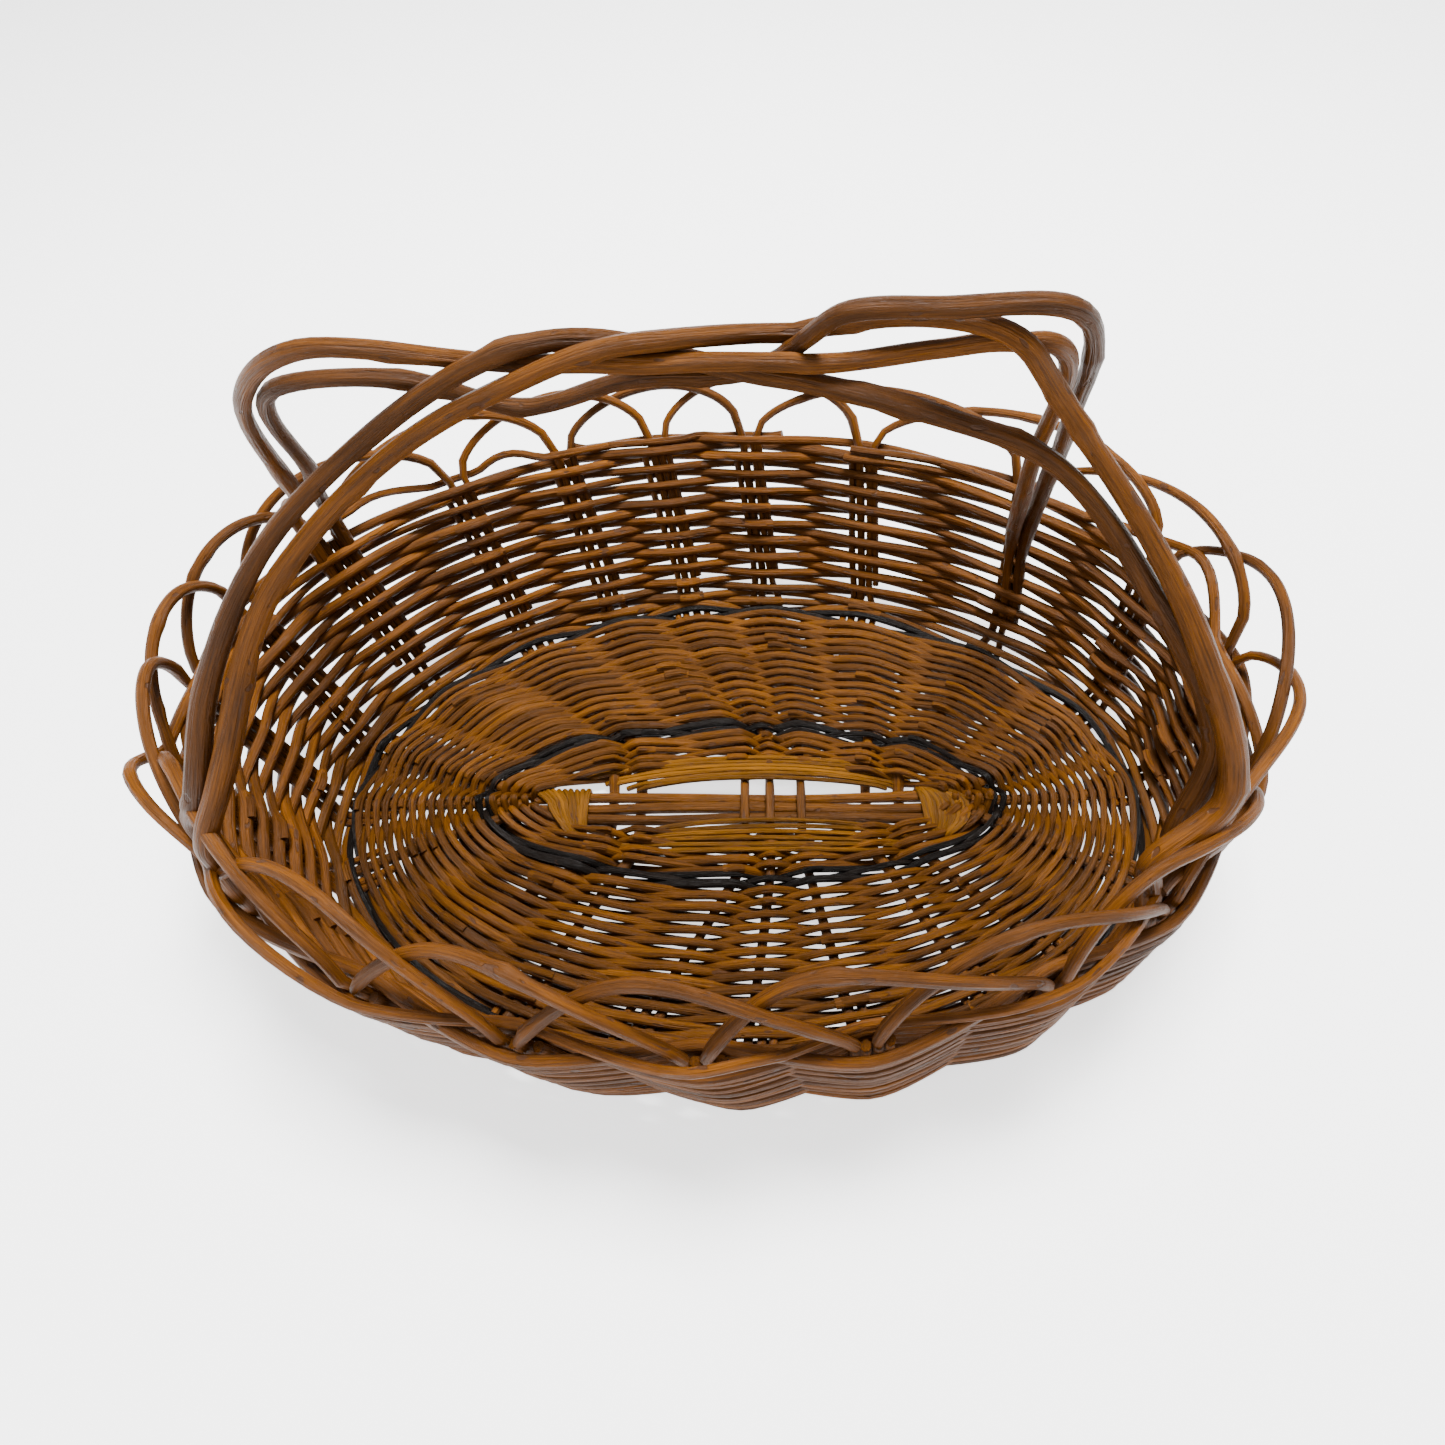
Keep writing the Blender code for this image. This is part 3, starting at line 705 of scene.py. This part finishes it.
class WILLOW_OT_core(bpy.types.Operator):
    """The lapped wraps at the ends of the core and the packing beside it."""
    bl_idname = "willow.core"
    bl_label = "Core wraps and packing"

    def execute(self, context):
        for name, back_ends, front_ends, bow in WRAPS:
            rods = self.wrap(back_ends, front_ends, bow)
            willow_piece(name, "rods", rods, "golden")
        for name, *plan in PACKINGS:
            rods = [self.packing_rod(lane, *plan) for lane in range(PACKING_LANES)]
            willow_piece(name, "rods", rods, "golden")
        return {"FINISHED"}

    def wrap(self, back_ends, front_ends, bow):
        """Thin rods lapped round the three long sticks, fanned out on one side."""
        back_reach, front_reach = STICK_PITCH + STICK_RADIUS + WRAP_GAP, 0.0150
        rods = []
        for turn in range(WRAP_TURNS):
            share = turn / (WRAP_TURNS - 1)
            back = back_ends[0] + (back_ends[1] - back_ends[0]) * share
            front = front_ends[0] + (front_ends[1] - front_ends[0]) * share
            path = []
            for angle in spread(-0.75 * math.pi, 0.75 * math.pi, 26):
                across, over = math.sin(angle), math.cos(angle)
                x = front + (back - front) * (0.5 + 0.5 * across)
                x += bow * share * (1.0 - across * across)
                reach = back_reach if across > 0.0 else front_reach
                y = reach * math.copysign(abs(across) ** 0.75, across)
                rise = STICK_RADIUS + WRAP_GAP + 0.0004 * (turn % 2)
                z = rise * math.copysign(abs(over) ** 0.8, over)
                z += (0.0005 * turn - 0.0030) * max(-across, 0.0)
                path.append(CORE_MIDDLE + Vector((x, y, z)))
            rods.append(Rod(path, WRAP_RADIUS * (1.06 - 0.06 * (turn % 3)), *THIN_ROD))
        return rods

    def packing_rod(self, lane, side, ends, reach, pinch):
        """A thin rod over the cross sticks, which dips under the weave at its ends."""
        left, right = ends[0] - 0.0060 * lane, ends[1] + 0.0035 * lane
        rank = lane / (PACKING_LANES - 1)
        full = reach[0] + (reach[1] - reach[0]) * rank
        shut = pinch[0] + (pinch[1] - pinch[0]) * rank
        path = []
        for share in spread(0.0, 1.0, PACKING_POINTS):
            bulge = math.sin(math.pi * share) ** 0.7 if 0.0 < share < 1.0 else 0.0
            y = shut + (full - shut) * bulge
            z = 0.0088 * bulge - 0.0020 * (1.0 - bulge) - 0.0028 * rank * bulge
            dip = 0.0016 * (lane % 2) * (1.0 - bulge)
            z += 0.0005 * math.sin(lane * 2.0 + share * 7.0) - dip
            x = left + (right - left) * share + 0.0015 * math.sin(lane * 2.7)
            path.append(CORE_MIDDLE + Vector((x, side * y, z)))
        radii = [PACKING_RADIUS * taper for taper in spread(1.1, 0.9, PACKING_POINTS)]
        return Rod(path, radii, *THIN_ROD)


# Each band of the base: first and last place, finish, material slot and which way it starts.
BASE_BANDS = (
    ("inner_base_weave", -1.20, 0.52, "honey", "base_willow", 0),
    ("inner_dark_ring", 0.64, 0.84, "soot", "dark_willow", 1),
    ("outer_base_weave", 0.95, 2.84, "honey", "base_willow", 0),
    ("outer_dark_ring", 2.94, 3.05, "soot", "dark_willow", 1),
)
# The inner dark ring's rods are thinner than the base weavers.
INNER_RING_SHARE = 0.86


class WILLOW_OT_base_weave(bpy.types.Operator):
    """Rows of the base, and the two dark rings."""
    bl_idname = "willow.base_weave"
    bl_label = "Base weave"

    def execute(self, context):
        radius = sizes().base_weaver / 2.0
        swing = STICK_RADIUS + radius
        for name, first, last, kind, slot, phase in BASE_BANDS:
            places = slant_places(first, last, sizes().base_pitch)
            thick = radius * (INNER_RING_SHARE if name == "inner_dark_ring" else 1.0)
            rods = woven_rows(places, phase, thick, swing, name, BASE_WANDER, BASE_LENGTHS)
            willow_piece(name, "rods", rods, kind)
        return {"FINISHED"}


WALL_START = 3.20
WALL_BANDS = ("wall_weave_foot", "wall_weave_lower", "wall_weave_middle", "wall_weave_upper",
              "wall_weave_top")


class WILLOW_OT_wall_weave(bpy.types.Operator):
    """Rows of the wall, from the turn of the base to the rim."""
    bl_idname = "willow.wall_weave"
    bl_label = "Wall weave"

    def execute(self, context):
        places = slant_places(WALL_START, RIM, sizes().wall_pitch)
        share = len(places) / len(WALL_BANDS)
        radius, swing = sizes().wall_weaver / 2.0, sizes().swing
        for number, name in enumerate(WALL_BANDS):
            first, last = round(number * share), round((number + 1) * share)
            rods = woven_rows(places[first:last], first % 2, radius, swing, name, WALL_WANDER,
                              WALL_LENGTHS)
            if name == "wall_weave_top":
                spare = random.Random("spare")
                for start, stop, above in SPARE_WEAVERS:
                    rods.append(weaver(start, stop, RIM + above, len(places) % 2,
                                       radius * 0.8, swing, spare, SPARE_WANDER))
            kind = "honey" if number == 0 else "russet"
            willow_piece(name, "rods", rods, kind)
        return {"FINISHED"}


# How far the arches lean out at the back and the right, and in all round the rim.
BACK_LEAN, RIGHT_LEAN, INWARD_LEAN = 0.36, 0.32, 0.18


def border_lean(bay):
    """How far the arches lean out of the wall for each metre of height."""
    point = skin(bay, RIM) - CENTRE
    back, right = point.y / RIM_HALF_WIDTH, point.x / RIM_HALF_LENGTH
    return BACK_LEAN * back + RIGHT_LEAN * right - INWARD_LEAN


# Where an arch's rod stands beside the middle of its group: at its foot, where it leaves the
# weave and where it lands. The two shorter stakes: at the foot and higher up.
ARCH_FOOT, ARCH_SIDE, LANDING_SIDE = 0.0058, 0.0024, -0.0052
LEFT_STAKE, RIGHT_STAKE = (-0.0058, -0.0022), (0.0100, 0.0068)
# The place where a group starts to close up and over how much it does, then the places where an
# arch's rod starts and where its tail ends.
CLOSING_START, CLOSING_RUN = 3.3, 0.9
ARCH_START, TAIL_END = 2.2, 4.3
# An arch's outline: the power of its rise, and what is added to it at the front of the basket.
ARCH_POWER, FRONT_POWER = 0.52, 0.30
# How early an arch is at its highest: at the back, drawn for each arch, and at the front.
BACK_HASTE, FRONT_HASTE = (0.66, 0.84), 1.02


class WILLOW_OT_stakes(bpy.types.Operator):
    """The stake groups, whose rods arch over two bays to make the border."""
    bl_idname = "willow.stakes"
    bl_label = "Stakes and border"

    def execute(self, context):
        for group in range(GROUPS):
            name = f"stake_{group + 1:02d}"
            dice = random.Random(name)
            rods = [self.arch_rod(group, dice)]
            rods.append(self.short_stake(group, *LEFT_STAKE, dice))
            if group not in HANDLE_GROUPS:
                rods.append(self.short_stake(group, *RIGHT_STAKE, dice))
            willow_piece(name, "rods", rods, "russet")
        return {"FINISHED"}

    def arch_rod(self, group, dice):
        """A stake that rises from the base, arches over two bays and goes down into the wall."""
        radius = sizes().stake / 2.0
        tall = sizes().arch_height * dice.uniform(0.90, 1.08)
        front = max((CENTRE - skin(group + 1, RIM)).y / RIM_HALF_WIDTH, 0.0)
        hasty = dice.uniform(*BACK_HASTE)
        hasty += (FRONT_HASTE - hasty) * front
        power = ARCH_POWER + FRONT_POWER * front
        path, radii = [], []
        for place in spread(ARCH_START, RIM, 26):
            closed = ease((place - CLOSING_START) / CLOSING_RUN)
            side = ARCH_FOOT + (ARCH_SIDE - ARCH_FOOT) * closed
            path.append(on_basket(group, place, 0.0, side))
            radii.append(radius * 0.95)
        for share in spread(0.0, 1.0, 36)[1:]:
            bay = group + 2.0 * share
            height = tall * max(math.sin(math.pi * share ** hasty), 0.0) ** power
            out = border_lean(bay) * height - 0.0027 * math.sin(2.0 * math.pi * share)
            side = ARCH_SIDE + (LANDING_SIDE - ARCH_SIDE) * ease(share)
            path.append(on_basket(bay, RIM, out, side) + rim_direction(bay) * height)
            stout = 1.0 - 0.25 * min(border_lean(bay), 0.0)
            radii.append(radius * (1.05 - 0.18 * share) * stout)
        for place in spread(RIM, TAIL_END, 14)[1:]:
            path.append(on_basket(group + 2, place, 0.0, LANDING_SIDE))
            radii.append(radius * 0.80)
        return Rod(path, radii, *ARCH)

    def short_stake(self, group, foot_side, side, dice):
        """A stake that ends under the top rows."""
        radius = sizes().stake / 2.0 * dice.uniform(0.78, 0.92)
        top = dice.uniform(5.75, 5.95)
        start = dice.uniform(2.2, 2.6)
        wobble = dice.uniform(0.0, 6.0)
        path = []
        for place in spread(start, top, 30):
            closed = ease((place - CLOSING_START) / CLOSING_RUN)
            across = foot_side + (side - foot_side) * closed
            across += 0.0006 * math.sin(place * 3.0 + wobble)
            path.append(on_basket(group, place, 0.0003 * math.sin(place * 4.0 + wobble), across))
        return Rod(path, radius, *STAKE)


def knot_gap(one, other):
    """Spacing of two knots along a curve, so that long and short spans stay smooth."""
    return max((Vector(other) - Vector(one)).length ** 0.5, 1e-4)


def smooth_route(knots, parts):
    """Points on a smooth curve through unevenly spaced knots, parts of them to each span."""
    knots = [Vector(knot) for knot in knots]
    ends = [2.0 * knots[0] - knots[1]] + knots + [2.0 * knots[-1] - knots[-2]]
    points = []
    for a, b, c, d in zip(ends, ends[1:], ends[2:], ends[3:]):
        one = knot_gap(a, b)
        two = one + knot_gap(b, c)
        three = two + knot_gap(c, d)
        for i in range(parts):
            at = one + (two - one) * i / parts
            ab = a.lerp(b, at / one)
            bc = b.lerp(c, (at - one) / (two - one))
            cd = c.lerp(d, (at - two) / (three - two))
            abc = ab.lerp(bc, at / two)
            bcd = bc.lerp(cd, (at - one) / (three - one))
            points.append(abc.lerp(bcd, (at - one) / (two - one)))
    return points + [knots[-1]]


def crossing_side(one, other, x):
    """1 where the first handle rod crosses over the second, -1 where under, 0 elsewhere."""
    side = np.zeros_like(x)
    for over, under, place in HANDLE_CROSSINGS:
        if {over, under} == {one, other}:
            near = np.abs(x - CENTRE.x - place) < CROSSING_REACH
            side[near] = 1.0 if over == one else -1.0
    return side


# Handle rods are held in the wall, and free to part from this height on.
FREE_HEIGHT, FREE_RUN = 0.100, 0.015


def push_apart(routes, radii, clear, rounds):
    """Lifts crossing handle rods off one another, and parts rods that lie side by side."""
    names = list(routes)
    lift = np.array(LIFT)
    shifts = {name: np.zeros_like(routes[name]) for name in names}
    for _ in range(rounds):
        pushes = {name: np.zeros_like(routes[name]) for name in names}
        for index, one in enumerate(names):
            for other in names[index + 1:]:
                a = routes[one] + shifts[one]
                b = routes[other] + shifts[other]
                apart = a[:, None] - b[None]
                distance = np.maximum(np.linalg.norm(apart, axis=2), 1e-6)
                lack = radii[one][:, None] + radii[other][None] + clear - distance
                side = crossing_side(one, other, a[:, 0])[:, None, None]
                way = np.where(side == 0.0, apart / distance[:, :, None], side * lift)
                push = way * (np.maximum(lack, 0.0) * 0.5)[:, :, None]
                pushes[one] += push[np.arange(len(a)), lack.argmax(axis=1)]
                pushes[other] -= push[lack.argmax(axis=0), np.arange(len(b))]
        for name in names:
            free = np.clip((routes[name][:, 2] - FREE_HEIGHT) / FREE_RUN, 0.0, 1.0)[:, None]
            shift = shifts[name] + pushes[name] * free
            shift[1:-1] = 0.8 * shift[1:-1] + 0.1 * (shift[:-2] + shift[2:])
            shifts[name] = shift * np.minimum(free * 4.0, 1.0)
    return {name: routes[name] + shifts[name] for name in names}


# Radius of a handle rod's leg and top, at the front and the back, and of its tail in the wall.
FRONT_RADII, BACK_RADII = (0.0042, 0.0028), (0.0034, 0.0026)
TAIL_RADIUS = 0.0024
# Heights between which a tail swells into a leg, and a leg thins to the top.
TAIL_TOP, LEG_SWELL = 0.060, 0.034
LEG_TOP, LEG_THINS = 0.13, 0.09
FOOT_SIDE = 0.0074
# Places up a tail and how far outside the wall's middle it is there, then heights above the rim
# and how far inside it is there.
INNER_FOOT = ((4.3, 0.0), (4.7, -0.0010), (5.05, -0.0045), (5.35, -0.0090))
WALL_FOOT = ((4.5, 0.0), (5.0, 0.0), (5.5, 0.0), (5.65, -0.0006), (RIM, -0.005))
ABOVE_RIM = ((0.009, 0.0085), (0.019, 0.0125))
HANDLE_GAP, PUSH_ROUNDS = 0.0006, 240


class WILLOW_OT_handle(bpy.types.Operator):
    """Four thick rods plaited over the top, two from each side."""
    bl_idname = "willow.handle"
    bl_label = "Handle"

    def execute(self, context):
        routes, radii = {}, {}
        for name, plan in HANDLE_ROUTES.items():
            leg, top = FRONT_RADII if "front" in name else BACK_RADII
            routes[name], radii[name] = self.route(*plan, leg, top)
        routes = push_apart(routes, radii, HANDLE_GAP, PUSH_ROUNDS)
        for name, path in routes.items():
            rods = [Rod(path, radii[name], *HANDLE_ROD)]
            willow_piece(name, "bark", rods, "chestnut")
        return {"FINISHED"}

    def foot(self, group, side):
        """Points up a handle rod's tail, from inside the wall to just above the rim."""
        across = side * FOOT_SIDE
        if group == INNER_FOOT_GROUP:
            return [on_basket(group, place, out, across) for place, out in INNER_FOOT]
        points = [on_basket(group, place, out, across) for place, out in WALL_FOOT]
        for height, inset in ABOVE_RIM:
            points.append(on_basket(group, RIM, -inset, across) + rim_direction(group) * height)
        return points

    def route(self, left_group, left_side, right_group, right_side, middle, leg, top):
        """A handle rod's line from foot to foot, and its radius at each point."""
        knots = self.foot(left_group, left_side)
        knots += [Vector(point) + CENTRE for point in middle]
        knots += reversed(self.foot(right_group, right_side))
        points = smooth_route(knots, 10)
        radii = []
        for point in points:
            grown = ease((point.z - TAIL_TOP) / LEG_SWELL)
            slim = ease((point.z - LEG_TOP) / LEG_THINS)
            full = leg + (top - leg) * slim
            radii.append(TAIL_RADIUS + (full - TAIL_RADIUS) * grown)
        return np.array(points), np.array(radii)


# ---- stage ----
FLOOR_HALF_SIZE, FLOOR_GREY, FLOOR_GLOW = 40.0, 0.93, 1.6
AIR_STRENGTH = 0.70
# Each softbox: place, size in metres and power in watts. They face the middle of the wall.
SOFTBOXES = (
    ("overhead_softbox", (0.15, 0.40, 1.6), 0.6, 95.0),
    ("side_softbox", (-1.2, -0.9, 1.0), 0.9, 12.0),
)
SOFTBOX_AIM = Vector((0.0, 0.0, 0.08))
# The camera: place, angles in radians, and lens and sensor in millimetres.
CAMERA_PLACE = (0.0285, -0.2205, 0.3726)
CAMERA_PITCH, CAMERA_YAW, CAMERA_ROLL = 0.979, -0.075, -0.071
CAMERA_LENS, CAMERA_SENSOR, CAMERA_NEAR = 21.17, 36.0, 0.01


class WILLOW_OT_studio(bpy.types.Operator):
    """A pale floor, soft light and the camera."""
    bl_idname = "willow.studio"
    bl_label = "Studio"

    def execute(self, context):
        scene = context.scene
        mesh = bmesh.new()
        bmesh.ops.create_grid(mesh, x_segments=1, y_segments=1, size=FLOOR_HALF_SIZE)
        data = bpy.data.meshes.new("floor")
        mesh.to_mesh(data)
        mesh.free()
        paper = Board("pale_paper")
        paper.shader.inputs["Base Color"].default_value = (*[FLOOR_GREY] * 3, 1.0)
        paper.shader.inputs["Roughness"].default_value = 0.9
        paper.shader.inputs["Emission Color"].default_value = (1.0, 1.0, 1.0, 1.0)
        paper.shader.inputs["Emission Strength"].default_value = FLOOR_GLOW
        data.materials.append(paper.material)
        floor = bpy.data.objects.new("floor", data)
        scene.collection.objects.link(floor)
        world = bpy.data.worlds.new("studio_air")
        world.use_nodes = True
        air = world.node_tree.nodes["Background"]
        air.inputs["Color"].default_value = (1.0, 1.0, 1.0, 1.0)
        air.inputs["Strength"].default_value = AIR_STRENGTH
        scene.world = world
        for name, place, size, energy in SOFTBOXES:
            lamp = bpy.data.lights.new(name, "AREA")
            lamp.shape = "SQUARE"
            lamp.size = size
            lamp.energy = energy
            light = bpy.data.objects.new(name, lamp)
            light.location = place
            aim = SOFTBOX_AIM - Vector(place)
            light.rotation_euler = aim.to_track_quat("-Z", "Y").to_euler()
            scene.collection.objects.link(light)
        self.camera(scene)
        return {"FINISHED"}

    def camera(self, scene):
        """Stands in front of the basket and looks steeply down into it, a little tilted."""
        pitch, yaw, roll = CAMERA_PITCH, CAMERA_YAW, CAMERA_ROLL
        ahead = Vector((math.sin(yaw) * math.cos(pitch), math.cos(yaw) * math.cos(pitch),
                        -math.sin(pitch)))
        right = Vector((math.cos(yaw), -math.sin(yaw), 0.0))
        up = right.cross(ahead)
        right, up = (right * math.cos(roll) + up * math.sin(roll),
                     up * math.cos(roll) - right * math.sin(roll))
        data = bpy.data.cameras.new("camera")
        data.sensor_width = CAMERA_SENSOR
        data.lens = CAMERA_LENS
        data.clip_start = CAMERA_NEAR
        camera = bpy.data.objects.new("camera", data)
        turn = Matrix((right, up, -ahead)).transposed().to_4x4()
        camera.matrix_world = Matrix.Translation(CAMERA_PLACE) @ turn
        scene.collection.objects.link(camera)
        scene.camera = camera


class WILLOW_PT_panel(bpy.types.Panel):
    """Lists the steps that make the basket."""
    bl_label = "Willow basket"
    bl_idname = "WILLOW_PT_panel"
    bl_space_type = "VIEW_3D"
    bl_region_type = "UI"
    bl_category = "Willow"

    def draw(self, context):
        for group in (context.scene.willow_sizes, context.scene.willow_colours):
            for name in group.__annotations__:
                self.layout.prop(group, name)
        for step in STEPS:
            self.layout.operator(step.bl_idname)


STEPS = (WILLOW_OT_base_sticks, WILLOW_OT_core, WILLOW_OT_base_weave, WILLOW_OT_wall_weave,
         WILLOW_OT_stakes, WILLOW_OT_handle, WILLOW_OT_studio)
CLASSES = (WillowSizes, WillowColours, *STEPS, WILLOW_PT_panel)


def register():
    """Adds the basket's settings, steps and panel."""
    for kind in CLASSES:
        bpy.utils.register_class(kind)
    bpy.types.Scene.willow_sizes = PointerProperty(type=WillowSizes)
    bpy.types.Scene.willow_colours = PointerProperty(type=WillowColours)


def unregister():
    """Removes them again."""
    del bpy.types.Scene.willow_colours
    del bpy.types.Scene.willow_sizes
    for kind in reversed(CLASSES):
        bpy.utils.unregister_class(kind)


def main():
    """Makes the basket and its stage."""
    register()
    for step in STEPS:
        module, name = step.bl_idname.split(".")
        getattr(getattr(bpy.ops, module), name)()


if __name__ == "__main__":
    main()
